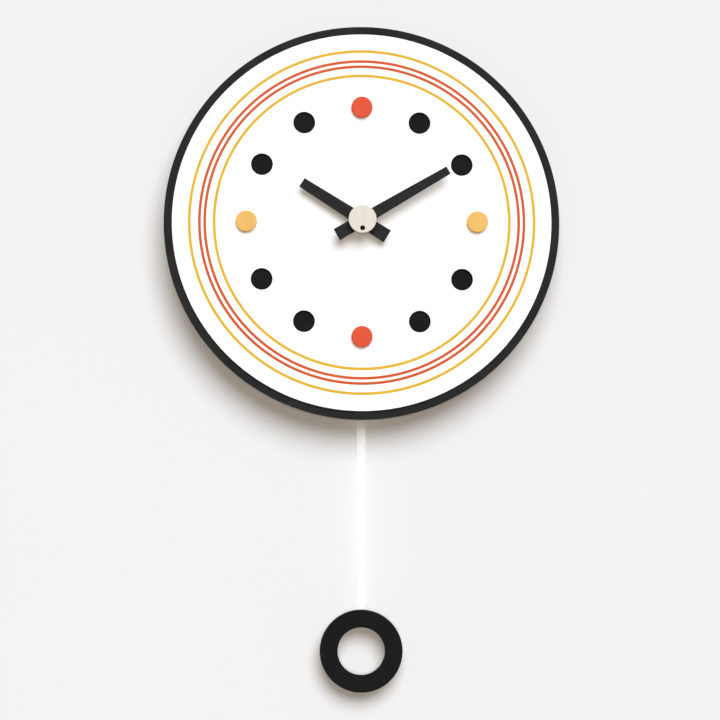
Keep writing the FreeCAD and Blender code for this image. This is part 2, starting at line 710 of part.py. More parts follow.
# going train: rotor 10 - 50/10 - 60/8 - 60/8 - 64
ph_sec = 0.0
ph_inter_pin = mesh_phase(heading(C, INTER), 60, ph_sec, 10)
ph_inter = 0.0
ph_rotor = mesh_phase(heading(INTER, ROTOR), 50, ph_inter, 10)
ph_secpin = 0.0
ph_third = mesh_phase(heading(C, THIRD), 8, ph_secpin, 60)
ph_thirdpin = 0.0
ph_centre = mesh_phase(heading(THIRD, C), 8, ph_thirdpin, 64)
s = teeth(60, M_FAST, ph_sec, 13.8, 14.6).fuse(teeth(8, M_THIRD, ph_secpin, 15.1, 16.5))
s = s.fuse(turned(1.0, 14.5, 15.2)).fuse(turned(sec_r, 10.0, 48.0))
feature("seconds_wheel", s)
s = teeth(60, M_THIRD, ph_third, 15.4, 16.2, *THIRD).fuse(teeth(8, M_CENTRE, ph_thirdpin, 17.6, 18.9, *THIRD))
feature("third_wheel", s.fuse(turned(0.45, 10.2, 20.6, *THIRD)))
s = teeth(64, M_CENTRE, ph_centre, 17.8, 18.6).fuse(turned(2.0, 17.7, 18.75)).cut(turned(1.25, 17.0, 19.0))
feature("centre_wheel", s)
s = teeth(50, M_FAST, ph_inter, 12.3, 13.1, *INTER).fuse(teeth(10, M_FAST, ph_inter_pin, 13.0, 14.9, *INTER))
feature("intermediate_wheel", s.fuse(turned(0.4, 10.2, 17.1, *INTER)))
s = teeth(10, M_FAST, ph_rotor, 12.0, 13.4, *ROTOR).fuse(turned(0.4, 10.2, 17.1, *ROTOR))
feature("rotor_pinion", s.fuse(turned(0.9, 13.3, 14.6, *ROTOR)))
feature("rotor_magnet", turned(2.5, 14.6, 16.5, *ROTOR).cut(turned(0.4, 14.0, 17.0, *ROTOR)))

# ================================================================ setting knob
b = Body("setting_knob")
s = b.sketch(0.6); circle(s, d("knob_radius"), *knob_at); b.pad(s, 2.2)
s = b.sketch(2.6); circle(s, 2.4, *knob_at); b.pad(s, 0.7)
# grip: ring of notches round the rim and a recessed face
s = b.sketch(0.1)
for k in range(18):
    a = math.radians(20.0 * k)
    circle(s, 0.5, d("knob_x") + d("knob_radius") * round(math.cos(a), 9), d("knob_w") + d("knob_radius") * round(math.sin(a), 9))
b.pocket(s, 3.0, reverse=True)
s = b.sketch(1.1); circle(s, 4.6, *knob_at); b.pocket(s, 2.0)

# ================================================================ stepping motor
b = Body("stator")
s = b.sketch(15.5)
outline(s, [(5.0, -12.6), (24.5, -12.6), (24.5, -9.6), (16.0, -9.6), (16.0, -7.4), (12.0, -7.4), (12.0, -6.8),
            (16.0, -6.8), (16.0, 5.1), (16.4, 5.5), (24.5, 5.5), (24.5, 9.0), (15.6, 9.0), (11.6, 3.4), (11.6, -1.8), (5.0, -1.8)])
b.pad(s, 1.2)
s = b.sketch(17.0); circle(s, 3.0, *ROTOR); b.pocket(s, 2)

node(block(19.5, 22.5, 14.3, 15.5, -12.6, 9.0), "coil_core")
cx, cd = 21.0, 14.9
spool = fuse(column(2.4, -8.6, 5.0, cx, cd), column(4.2, -8.6, -7.8, cx, cd), column(4.2, 4.2, 5.0, cx, cd))
node(cut(spool, block(19.5, 22.5, 14.3, 15.5, -13, 10)), "coil_bobbin")
node(cut(column(3.9, -7.8, 4.2, cx, cd), column(2.4, -9, 6, cx, cd)), "motor_coil")

# ================================================================ electronics
node(cut(block(-26.2, -18.6, 13.0, 14.0, -15.0, 20.0), cyl(0.6, 12, 15, -20.4, 18.4), cyl(0.6, 12, 15, -24.6, -13.4)), "circuit_board")
node(column(1.0, -4.0, 2.0, -22.4, 12.0), "quartz_crystal")
blob = doc.addObject("Part::Sphere", uid("blob"))
blob.Radius = 4.0
place(blob, -22.4, 15.3, 9.0, FreeCAD.Rotation())
node(cut(blob, block(-30, -15, 13.0, 22.0, 0, 18)), "chip_blob")

# ================================================================ battery and contacts
cell_right = d("cell_left") + d("cell_length")
bw, bd = -25.5, d("cell_depth")
cell = bar(d("cell_radius"), d("cell_left"), cell_right, bd, bw)
cell_r = round_edges(cell, 0.5, lambda e: hasattr(e.Curve, "Radius"))
node(fuse(cell_r, bar(d("cell_nub_radius"), cell_right - 0.5, cell_right + d("cell_nub_length"), bd, bw)), "aa_battery")
nub_end = cell_right + d("cell_nub_length")
node(fuse(block(nub_end, nub_end + 0.5, 2.4, 15.4, -30.5, -20.5), block(nub_end, nub_end + 0.5, 15.0, 15.55, -28.0, -23.0)), "positive_contact")
plate_n = block(-26.2, -25.8, 2.4, 15.4, -30.5, -20.5)
turns = Part.makeHelix(0.62, 1.24, 2.6, 8.0)
prof = Part.Wire(Part.makeCircle(0.22, V(2.6, 0, 0), V(0, 1, 0)))
coil = Part.Wire(turns).makePipeShell([prof], True, True)
coil.Placement = FreeCAD.Placement(V(-25.55, -num(bd), bw), FreeCAD.Rotation(V(0, 1, 0), 90))
plate_s = Part.makeBox(0.4, 13.0, 10.0, V(-26.2, -15.4, -30.5))
spring = coil if coil.isValid() and len(coil.Solids) == 1 else Part.makeTorus(2.7, 0.3, V(-25.5, -num(bd), bw), V(1, 0, 0))
foot = Part.makeCylinder(3.1, 0.2, V(-25.8, -num(bd), bw), V(1, 0, 0)).cut(
    Part.makeCylinder(2.2, 0.4, V(-25.9, -num(bd), bw), V(1, 0, 0)))
doc.removeObject(plate_n.Name)
feature("negative_contact", plate_s.fuse(foot).fuse(spring))

# ================================================================ pendulum
node(cyl(d("pivot_radius"), 2.2, 21.6, 0, d("pivot_w")), "pivot_pin")

arm_front = d("arm_back") + d("arm_thick")
b = Body("pendulum_arm")
s = b.sketch(d("arm_back"))
aw, fw, pw = d("arm_width") / 2, d("arm_foot_width") / 2, d("pivot_w")
outline(s, [(-fw, d("arm_bottom")), (fw, d("arm_bottom")), (fw, -76), (aw, -69), (aw, pw), (-aw, pw), (-aw, -69), (-fw, -76)])
b.pad(s, d("arm_thick"))
s = b.sketch(7.2); circle(s, 4.0, 0, pw); b.pad(s, 5.2)
s = b.sketch(12.9); circle(s, d("pivot_radius") + d("run_gap"), 0, pw); b.pocket(s, 7)
# lightening windows above the magnet
s = b.sketch(d("arm_back") + 4); rect(s, -2.0, 2.0, -54.5, -45.5); b.pocket(s, 5)
# hook that carries the rod
s = b.sketch(arm_front - 0.5); circle(s, 1.3, 0, d("hook_w")); b.pad(s, 3.3)
s = b.sketch(13.2); rect(s, -1.3, 1.3, d("hook_w"), d("hook_w") + 2.4); b.pad(s, 0.9)

node(cyl(d("magnet_radius"), arm_front, arm_front + 4.0, 0, d("magnet_w")), "pendulum_magnet")
mw = d("magnet_w")
spool = fuse(cyl(5.5, 16.6, inner, 0, mw), cyl(11.0, 16.6, 17.4, 0, mw), cyl(11.0, 21.7, inner, 0, mw))
node(cut(spool, cyl(3.5, 16.0, 23.0, 0, mw)), "drive_bobbin")
node(cut(cyl(10.0, 17.4, 21.7, 0, mw), cyl(5.5, 17.0, 22.0, 0, mw)), "drive_coil")

b = Body("pendulum_rod")
s = b.sketch(d("rod_back"))
rw = d("rod_width") / 2
rect(s, -rw, rw, d("rod_bottom"), d("rod_top"))
b.pad(s, d("rod_thick"))
s = b.sketch(d("rod_back") + d("rod_thick") + 1)
circle(s, 1.4, 0, d("hook_w") - 0.02); b.pocket(s, d("rod_thick") + 3)
b.fillet(1.2, lambda e: len(e.Vertexes) == 2 and abs(e.Vertexes[0].Point.y - e.Vertexes[1].Point.y) > 1
         and e.Vertexes[0].Point.z > -100 and abs(e.Vertexes[0].Point.x) > 3)

b = Body("pendulum_bob")
bob_front = d("rod_back") + d("bob_thick")
s = b.sketch(d("rod_back")); circle(s, d("bob_radius"), 0, d("bob_w")); circle(s, d("bob_hole"), 0, d("bob_w"))
b.pad(s, d("bob_thick"))
b.fillet(d("bob_round"), lambda e: hasattr(e.Curve, "Radius") and abs(e.Vertexes[0].Point.y + bob_front.v) < 0.01)
s = b.sketch(d("rod_back") + d("rod_thick")); rect(s, -rw, rw, d("rod_bottom"), -290.0)
b.pocket(s, d("rod_thick") + 1)

# ================================================================ checks and output
doc.recompute()
bad = []
for o in doc.Objects:
    if any(flag in ("Invalid", "Error") for flag in o.State):
        bad.append("%s %s" % (o.Name, o.State))
names = [label for label, o in OUT]
if len(set(names)) != len(names):
    bad.append("two sub-parts share a name")
for label, o in OUT:
    sh = o.Shape
    if sh.isNull() or not sh.isValid() or not sh.Solids or sh.Volume <= 0:
        bad.append("%s has no valid solid" % label)
if bad:
    raise RuntimeError("; ".join(bad))

os.makedirs("parts", exist_ok=True)
for f in os.listdir("parts"):
    if f.endswith(".step"):
        os.remove(os.path.join("parts", f))
for label, o in OUT:
    o.Shape.exportStep("parts/%s.step" % label)
    bb = o.Shape.BoundBox
    print("%-22s solids %d  vol %10.2f  x %.2f..%.2f  depth %.2f..%.2f  z %.2f..%.2f" % (
        label, len(o.Shape.Solids), o.Shape.Volume, bb.XMin, bb.XMax, -bb.YMax, -bb.YMin, bb.ZMin, bb.ZMax))
print(len(OUT), "sub-parts")
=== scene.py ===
import bpy
import bmesh
import json
import math
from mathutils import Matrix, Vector

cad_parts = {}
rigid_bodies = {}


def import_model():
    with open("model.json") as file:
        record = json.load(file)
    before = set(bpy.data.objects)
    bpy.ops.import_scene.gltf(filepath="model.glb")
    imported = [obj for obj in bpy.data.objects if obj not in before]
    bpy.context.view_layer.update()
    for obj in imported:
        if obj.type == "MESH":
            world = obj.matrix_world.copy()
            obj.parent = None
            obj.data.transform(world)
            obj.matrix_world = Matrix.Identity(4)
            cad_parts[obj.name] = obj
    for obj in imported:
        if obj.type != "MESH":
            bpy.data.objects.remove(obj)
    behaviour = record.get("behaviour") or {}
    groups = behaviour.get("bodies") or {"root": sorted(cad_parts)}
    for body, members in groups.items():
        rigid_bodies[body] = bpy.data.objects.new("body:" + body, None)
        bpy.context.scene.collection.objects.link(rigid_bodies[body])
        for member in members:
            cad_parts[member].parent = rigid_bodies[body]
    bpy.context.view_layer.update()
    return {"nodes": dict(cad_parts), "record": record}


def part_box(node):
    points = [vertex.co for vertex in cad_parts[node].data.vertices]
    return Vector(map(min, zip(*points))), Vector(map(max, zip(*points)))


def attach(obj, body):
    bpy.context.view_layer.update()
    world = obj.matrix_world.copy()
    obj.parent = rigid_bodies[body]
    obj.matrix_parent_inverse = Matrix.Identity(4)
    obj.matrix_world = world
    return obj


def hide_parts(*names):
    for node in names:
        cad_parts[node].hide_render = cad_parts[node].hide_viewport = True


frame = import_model()
N = frame["nodes"]
scene = bpy.context.scene
scene.view_settings.view_transform = "Standard"
scene.view_settings.look = "None"

MM = 0.001
ZC = sum(p[2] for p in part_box("dial_panel")) / 2      # height of the dial centre

# ================================================================ camera
cam_data = bpy.data.cameras.new("camera")
cam = bpy.data.objects.new("camera", cam_data)
scene.collection.objects.link(cam)
scene.camera = cam
cam_data.sensor_width = 36.0
cam_data.lens = 198.85
AZIM, ELEV, DIST = math.radians(1.8), math.radians(5.7), 3.0     # a little from the left and from below
aim = Vector((-0.00143, -0.032, ZC - 0.10507))
back = Vector((-math.sin(AZIM) * math.cos(ELEV), -math.cos(AZIM) * math.cos(ELEV), -math.sin(ELEV)))
cam.location = aim + back * DIST
cam.rotation_mode = "QUATERNION"
cam.rotation_quaternion = (-back).to_track_quat("-Z", "Y")
cam_data.clip_start, cam_data.clip_end = 0.05, 60.0


# ================================================================ material helpers
class Mat:
    """A Principled material whose colour, roughness and bump come from procedural textures."""

    def __init__(self, name, rough=0.5, metallic=0.0, specular=0.5, coat=0.0, coat_rough=0.1,
                 transmission=0.0, ior=1.5, subsurface=0.0, sheen=0.0):
        self.m = bpy.data.materials.new(name)
        self.m.use_nodes = True
        self.nt = self.m.node_tree
        self.nt.nodes.clear()
        self.out = self.nt.nodes.new("ShaderNodeOutputMaterial")
        self.b = self.nt.nodes.new("ShaderNodeBsdfPrincipled")
        self.nt.links.new(self.b.outputs["BSDF"], self.out.inputs["Surface"])
        b = self.b
        b.inputs["Roughness"].default_value = rough
        b.inputs["Metallic"].default_value = metallic
        b.inputs["Specular IOR Level"].default_value = specular
        b.inputs["IOR"].default_value = ior
        b.inputs["Coat Weight"].default_value = coat
        b.inputs["Coat Roughness"].default_value = coat_rough
        b.inputs["Transmission Weight"].default_value = transmission
        b.inputs["Subsurface Weight"].default_value = subsurface
        b.inputs["Sheen Weight"].default_value = sheen
        self.coords = self.nt.nodes.new("ShaderNodeTexCoord")
        self.normal = None

    def node(self, kind, **props):
        n = self.nt.nodes.new(kind)
        for k, v in props.items():
            setattr(n, k, v)
        return n

    def link(self, a, b):
        self.nt.links.new(a, b)

    def mapped(self, stretch=(1, 1, 1), rotate=(0, 0, 0), shift=(0, 0, 0)):
        mp = self.node("ShaderNodeMapping")
        mp.inputs["Scale"].default_value = stretch
        mp.inputs["Rotation"].default_value = rotate
        mp.inputs["Location"].default_value = shift
        self.link(self.coords.outputs["Object"], mp.inputs["Vector"])
        return mp.outputs["Vector"]

    def noise(self, scale, detail=3.0, rough=0.5, distortion=0.0, **where):
        n = self.node("ShaderNodeTexNoise")
        n.inputs["Scale"].default_value = scale
        n.inputs["Detail"].default_value = detail
        n.inputs["Roughness"].default_value = rough
        n.inputs["Distortion"].default_value = distortion
        self.link(self.mapped(**where), n.inputs["Vector"])
        return n.outputs["Fac"]

    def wave(self, scale, distortion=0.0, detail=2.0, direction="X", kind="BANDS", **where):
        n = self.node("ShaderNodeTexWave", wave_type=kind)
        if kind == "BANDS":
            n.bands_direction = direction
        n.inputs["Scale"].default_value = scale
        n.inputs["Distortion"].default_value = distortion
        n.inputs["Detail"].default_value = detail
        self.link(self.mapped(**where), n.inputs["Vector"])
        return n.outputs["Fac"]

    def voronoi(self, scale, feature="F1", **where):
        n = self.node("ShaderNodeTexVoronoi", feature=feature)
        n.inputs["Scale"].default_value = scale
        self.link(self.mapped(**where), n.inputs["Vector"])
        return n.outputs["Distance"]

    def ramp(self, source, stops):
        r = self.node("ShaderNodeValToRGB")
        el = r.color_ramp.elements
        while len(el) < len(stops):
            el.new(0.5)
        for e, (pos, col) in zip(el, stops):
            e.position = pos
            e.color = (*col, 1.0)
        self.link(source, r.inputs["Fac"])
        return r.outputs["Color"]

    def colour(self, source, stops):
        c = self.ramp(source, stops)
        self.link(c, self.b.inputs["Base Color"])
        return c

    def rough(self, source, low, high):
        r = self.node("ShaderNodeMapRange")
        r.inputs["From Min"].default_value = 0.25
        r.inputs["From Max"].default_value = 0.75
        r.inputs["To Min"].default_value = low
        r.inputs["To Max"].default_value = high
        self.link(source, r.inputs["Value"])
        self.link(r.outputs["Result"], self.b.inputs["Roughness"])

    def bump(self, source, strength, distance):
        n = self.node("ShaderNodeBump")
        n.inputs["Strength"].default_value = strength
        n.inputs["Distance"].default_value = distance
        self.link(source, n.inputs["Height"])
        if self.normal is not None:
            self.link(self.normal, n.inputs["Normal"])
        self.normal = n.outputs["Normal"]
        self.link(self.normal, self.b.inputs["Normal"])


def srgb(r, g, b):
    """Linear colour from 0-255 display values."""
    return tuple((c / 255.0 / 12.92) if c / 255.0 <= 0.04045 else ((c / 255.0 + 0.055) / 1.055) ** 2.4 for c in (r, g, b))


def mix(a, b, t):
    return tuple(x * (1 - t) + y * t for x, y in zip(a, b))


def scale_c(a, k):
    return tuple(min(1.0, x * k) for x in a)


# ================================================================ materials
def lacquer_black(name, base, specular=0.2, grain=2600.0, depth=0.00004):
    m = Mat(name, rough=0.6, specular=specular)
    n = m.noise(14.0, 4.0, 0.6)
    fine = m.noise(grain, 2.0, 0.5)
    m.colour(n, [(0.3, scale_c(base, 0.86)), (0.7, scale_c(base, 1.16))])
    m.rough(m.noise(60.0, 4.0, 0.55), 0.58, 0.72)
    m.bump(m.noise(700.0, 2.0, 0.5), 0.10, depth)
    m.bump(fine, 0.12, depth * 0.5)
    return m.m


def lacquer_colour(name, base, rough=0.58):
    m = Mat(name, rough=rough, specular=0.22)
    n = m.noise(90.0, 4.0, 0.6)
    m.colour(n, [(0.3, scale_c(base, 0.94)), (0.7, scale_c(base, 1.05))])
    m.rough(m.noise(300.0, 3.0, 0.5), rough - 0.06, rough + 0.08)
    m.bump(m.noise(1400.0, 2.0, 0.5), 0.10, 0.00004)
    return m.m


def printed_white(name, base):
    m = Mat(name, rough=0.45, specular=0.4)
    n = m.noise(9.0, 5.0, 0.6)
    m.colour(n, [(0.3, scale_c(base, 0.985)), (0.7, base)])
    m.rough(m.noise(40.0, 4.0, 0.5), 0.42, 0.55)
    m.bump(m.noise(1800.0, 2.0, 0.55), 0.06, 0.00003)
    return m.m


def powder_black(name, base):
    m = Mat(name, rough=0.6, specular=0.2)
    v = m.noise(1500.0, 3.0, 0.6)
    m.colour(v, [(0.35, scale_c(base, 0.75)), (0.65, scale_c(base, 1.35))])
    m.rough(m.noise(200.0, 3.0, 0.5), 0.5, 0.68)
    m.bump(v, 0.35, 0.00006)
    return m.m


def pale_wood(name, light, dark):
    m = Mat(name, rough=0.6, specular=0.3)
    grain = m.noise(420.0, 6.0, 0.65, 0.4, stretch=(1.0, 1.0, 0.07), rotate=(0, 0.12, 0))
    rings = m.wave(38.0, 5.0, 3.0, "X", stretch=(1.0, 0.6, 0.16))
    mixn = m.node("ShaderNodeMix", data_type="FLOAT")
    mixn.inputs[0].default_value = 0.18
    m.link(grain, mixn.inputs[2])
    m.link(rings, mixn.inputs[3])
    m.colour(mixn.outputs[0], [(0.15, dark), (0.45, mix(light, dark, 0.3)), (0.75, light)])
    m.rough(grain, 0.52, 0.70)
    m.bump(grain, 0.18, 0.00006)
    return m.m


def moulded(name, base, rough=0.5, grain=2200.0, strength=0.22, specular=0.5, subsurface=0.0):
    m = Mat(name, rough=rough, specular=specular)
    n = m.noise(24.0, 4.0, 0.6)
    m.colour(n, [(0.3, scale_c(base, 0.9)), (0.7, scale_c(base, 1.1))])
    m.rough(m.noise(120.0, 4.0, 0.6), rough - 0.06, rough + 0.10)
    m.bump(m.noise(grain, 2.0, 0.6), strength, 0.00006)
    if subsurface:
        m.b.inputs["Subsurface Weight"].default_value = subsurface
        m.b.inputs["Subsurface Radius"].default_value = (0.002, 0.002, 0.002)
    return m.m


def metal(name, base, rough=0.3, brush=(1, 1, 1), scale=900.0, dark=0.8):
    m = Mat(name, rough=rough, metallic=1.0)
    n = m.noise(scale, 4.0, 0.6, stretch=brush)
    m.colour(n, [(0.25, scale_c(base, dark)), (0.75, scale_c(base, 1.08))])
    m.rough(n, max(0.08, rough - 0.10), rough + 0.14)
    m.bump(n, 0.12, 0.00003)
    return m.m


def winding(name, base, direction):
    m = Mat(name, rough=0.35, metallic=0.85)
    w = m.wave(1100.0, 0.6, 1.0, direction)
    # Painted shade and highlight: the colour goes darker in the grooves between wire turns and a little lighter on
    # their crests.
    m.colour(w, [(0.1, scale_c(base, 0.45)), (0.6, base), (0.95, scale_c(base, 1.15))])
    m.rough(m.noise(400.0, 3.0, 0.5), 0.28, 0.45)
    m.bump(w, 0.5, 0.00008)
    return m.m


def board_green(name):
    m = Mat(name, rough=0.4, specular=0.5)
    g, t = srgb(22, 84, 48), srgb(44, 120, 70)
    tracks = m.voronoi(420.0, "DISTANCE_TO_EDGE")
    m.colour(tracks, [(0.0, t), (0.06, t), (0.10, g), (0.6, scale_c(g, 0.9))])
    m.rough(m.noise(300.0, 3.0, 0.5), 0.32, 0.5)
    m.bump(tracks, 0.15, 0.00004)
    return m.m


def battery_wrap(name):
    """Plain wrap in two bands along the cell, bare metal at both ends."""
    lo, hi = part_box("aa_battery")
    m = Mat(name, rough=0.32, specular=0.5, coat=0.3, coat_rough=0.15)
    sep = m.node("ShaderNodeSeparateXYZ")
    m.link(m.coords.outputs["Object"], sep.inputs[0])
    rng = m.node("ShaderNodeMapRange")
    rng.inputs["From Min"].default_value = lo.x
    rng.inputs["From Max"].default_value = hi.x
    m.link(sep.outputs["X"], rng.inputs["Value"])
    steel, dark, band = srgb(176, 176, 172), srgb(52, 92, 138), srgb(150, 156, 160)
    r = m.ramp(rng.outputs["Result"], [(0.0, steel), (0.022, steel), (0.026, dark), (0.66, dark), (0.664, srgb(215, 212, 204)),
                                       (0.676, band), (0.966, band), (0.970, steel)])
    r.node.color_ramp.interpolation = "CONSTANT"
    n = m.noise(500.0, 3.0, 0.5)
    blend = m.node("ShaderNodeMix", data_type="RGBA", blend_type="MULTIPLY")
    blend.inputs[0].default_value = 1.0
    m.link(r, blend.inputs[6])
    m.link(m.ramp(n, [(0.3, (0.90, 0.90, 0.90)), (0.7, (1.0, 1.0, 1.0))]), blend.inputs[7])
    m.link(blend.outputs[2], m.b.inputs["Base Color"])
    mm = m.node("ShaderNodeValToRGB")
    mm.color_ramp.interpolation = "CONSTANT"
    el = mm.color_ramp.elements
    el.new(0.5)
    for e, (p, v) in zip(el, [(0.0, 1.0), (0.026, 0.0), (0.970, 1.0)]):
        e.position = p
        e.color = (v, v, v, 1)
    m.link(rng.outputs["Result"], mm.inputs["Fac"])
    m.link(mm.outputs["Color"], m.b.inputs["Metallic"])
    m.rough(n, 0.24, 0.38)
    m.bump(m.noise(900.0, 2.0, 0.5), 0.06, 0.00003)
    return m.m


def white_rod(name):
    m = Mat(name, rough=0.28, specular=0.5)
    n = m.noise(60.0, 3.0, 0.5, stretch=(1, 1, 0.2))
    base = (0.865, 0.865, 0.86)
    m.colour(n, [(0.3, scale_c(base, 0.975)), (0.7, base)])
    m.rough(m.noise(220.0, 3.0, 0.5), 0.24, 0.36)
    m.bump(m.noise(900.0, 2.0, 0.5), 0.05, 0.00003)
    m.b.inputs["Alpha"].default_value = 0.26
    return m.m


mats = {
    "black_lacquer_board": lacquer_black("black_lacquer", (0.0085, 0.0079, 0.0074), 0.20),
    "white_dial": printed_white("dial_white", (0.93, 0.93, 0.925)),
    "red_lacquer": lacquer_colour("red_lacquer", (0.664, 0.0745, 0.0255)),
    "yellow_lacquer": lacquer_colour("yellow_lacquer", (0.748, 0.438, 0.115)),
    "black_hands": powder_black("hand_black", (0.0066, 0.0060, 0.0054)),
    "cream_wood": pale_wood("cream_wood", (0.688, 0.648, 0.577), (0.625, 0.58, 0.503)),
    "dark_inlay": moulded("dark_inlay", (0.003, 0.003, 0.003), 0.7, specular=0.1),
    "brass_turned": metal("turned_brass", srgb(214, 178, 104), 0.28, (1, 6, 1), 500.0),
    "steel_bright": metal("bright_steel", srgb(186, 187, 190), 0.30, (1, 1, 0.15), 900.0),
    "black_rubber": moulded("black_rubber", (0.018, 0.018, 0.018), 0.75, 1600.0, 0.3, 0.3),
    "black_case_plastic": moulded("case_plastic", (0.017, 0.017, 0.018), 0.46, 2600.0, 0.35),
    "white_gear_plastic": moulded("white_acetal", (0.80, 0.80, 0.77), 0.35, 1800.0, 0.08, 0.5, 0.15),
    "ochre_gear_plastic": moulded("ochre_acetal", srgb(206, 178, 118), 0.35, 1800.0, 0.08, 0.5, 0.15),
    "magnet_nickel": metal("nickel_plating", srgb(168, 166, 160), 0.22, (1, 1, 1), 700.0),
    "copper_winding": winding("copper_winding", srgb(196, 104, 58), "Z"),
    "circuit_green": board_green("circuit_green"),
    "epoxy_black": moulded("epoxy_black", (0.010, 0.010, 0.010), 0.22, 900.0, 0.05),
    "battery_wrap": battery_wrap("battery_wrap"),
    "contact_nickel": metal("contact_nickel", srgb(190, 186, 172), 0.30, (1, 1, 1), 900.0),
    "grey_arm_plastic": moulded("arm_grey", srgb(120, 121, 123), 0.45, 2200.0, 0.2),
    "white_rod": white_rod("rod_white"),
}
mats["drive_winding"] = winding("drive_winding", srgb(196, 104, 58), "X")
mats["bob_black_and_hole_shade"] = lacquer_black("bob_black_and_hole_shade", (0.0042, 0.0039, 0.0036), 0.12)
OWN = {"drive_coil": "drive_winding", "pendulum_bob": "bob_black_and_hole_shade"}
slot_of = {p["node"]: p["material_slot"] for p in frame["record"]["subparts"]}


# ================================================================ carried-over CAD nodes
def finish_node(name, bevel=0.0, segments=2, angle=35.0):
    """Own material, merged vertices and a fine edge rounding, all by modifiers."""
    o = N[name]
    key = OWN.get(name, slot_of[name])
    o.data.materials.clear()
    o.data.materials.append(mats[key])
    for p in o.data.polygons:
        p.use_smooth = True
    w = o.modifiers.new("merge", "WELD")
    w.merge_threshold = 1e-6
    dz = o.modifiers.new("planar", "DECIMATE")
    dz.decimate_type = "DISSOLVE"
    dz.angle_limit = math.radians(0.4)
    if bevel:
        bv = o.modifiers.new("edges", "BEVEL")
        bv.width = bevel * MM
        bv.segments = segments
        bv.limit_method = "ANGLE"
        bv.angle_limit = math.radians(angle)
        bv.use_clamp_overlap = True
        bv.miter_outer = "MITER_ARC"
    wn = o.modifiers.new("normals", "WEIGHTED_NORMAL")
    wn.keep_sharp = False
    wn.weight = 50
    return o


BEVELS = {
    "movement_front_case": 0.25, "movement_rear_case": 0.25, "setting_knob": 0.15, "pendulum_arm": 0.25,
    "hour_hand": 0.12, "minute_hand": 0.12, "mounting_nut": 0.2, "flat_washer": 0.08, "threaded_bush": 0.15,
    "rubber_washer": 0.12, "case_screws": 0.1, "stator": 0.05, "circuit_board": 0.05, "coil_core": 0.05,
    "quartz_crystal": 0.15, "pendulum_magnet": 0.25, "rotor_magnet": 0.1, "pivot_pin": 0.1,
    "middle_plate": 0.08, "train_bridge": 0.08, "coil_bobbin": 0.08, "drive_bobbin": 0.12,
    "seconds_dot": 0.08, "positive_contact": 0.05, "negative_contact": 0.0, "motor_coil": 0.2, "drive_coil": 0.25,
}
for n in N:
    finish_node(n, BEVELS.get(n, 0.0))


# ================================================================ mesh helpers
def link_mesh(name, bm, material, body, smooth=True):
    bmesh.ops.remove_doubles(bm, verts=bm.verts, dist=1e-7)
    bmesh.ops.recalc_face_normals(bm, faces=bm.faces)
    me = bpy.data.meshes.new(name)
    bm.to_mesh(me)
    bm.free()
    for p in me.polygons:
        p.use_smooth = smooth
    o = bpy.data.objects.new(name, me)
    scene.collection.objects.link(o)
    me.materials.append(material)
    wn = o.modifiers.new("normals", "WEIGHTED_NORMAL")
    wn.keep_sharp = False
    wn.weight = 50
    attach(o, body)
    return o


def arc(cr, cd, r, a0, a1, n=4):
    """Points of a rounding in (radius, depth)."""
    return [(cr + r * math.cos(math.radians(a0 + (a1 - a0) * i / n)),
             cd + r * math.sin(math.radians(a0 + (a1 - a0) * i / n))) for i in range(n + 1)]


def turned(bm, prof, cx=0.0, cz=0.0, seg=256, closed=True):
    """Surface of revolution about a line along Y. prof holds (radius, depth) in mm; cz is above the dial centre."""
    rings = []
    for r, dep in prof:
        if r < 1e-9:
            rings.append([bm.verts.new((cx * MM, -dep * MM, ZC + cz * MM))])
        else:
            rings.append([bm.verts.new(((cx + r * math.sin(2 * math.pi * k / seg)) * MM, -dep * MM,
                                        ZC + (cz + r * math.cos(2 * math.pi * k / seg)) * MM)) for k in range(seg)])
    n = len(rings)
    for i in range(n if closed else n - 1):
        a, b = rings[i], rings[(i + 1) % n]
        if len(a) == 1 and len(b) == 1:
            continue
        for k in range(seg):
            k2 = (k + 1) % seg
            if len(a) == 1:
                bm.faces.new((a[0], b[k], b[k2]))
            elif len(b) == 1:
                bm.faces.new((a[k], b[0], a[k2]))
            else:
                bm.faces.new((a[k], b[k], b[k2], a[k2]))


# ================================================================ back board, lacquered, softly rounded edges
def y_range(node):
    lo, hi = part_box(node)
    return -hi.y / MM, -lo.y / MM


b0, b1 = y_range("back_board")
bm = bmesh.new()
R = 149.95
turned(bm, [(4.3, b0), (30, b0), (90, b0)] + arc(R - 0.5, b0 + 0.5, 0.5, -90, 0, 5) + arc(R - 0.5, b1 - 0.5, 0.5, 0, 90, 5)
       + [(140, b1), (90, b1), (30, b1), (4.3, b1)], seg=384)
board = link_mesh("lacquered_board", bm, mats["black_lacquer_board"], "clock_body")
# Second slot, the bob's darker black, is used as painted shade on the board face that shows in the hour-dot holes.
board.data.materials.append(mats["bob_black_and_hole_shade"])
for f in board.data.polygons:            # painted shade: the face under the panel, seen through the hour-dot holes, gets the darker bob black to stand in for shade in those recesses
    c = f.center
    if f.normal.y < -0.9 and math.hypot(c.x, c.z - ZC) < 0.140:
        f.material_index = 1
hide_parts("back_board")

# ================================================================ dial panel with its round openings
p0, p1 = y_range("dial_panel")


def ring_points(r, dep, cx=0.0, cz=0.0, seg=96):
    return [((cx + r * math.sin(2 * math.pi * k / seg)) * MM, -dep * MM,
             ZC + (cz + r * math.cos(2 * math.pi * k / seg)) * MM) for k in range(seg)]


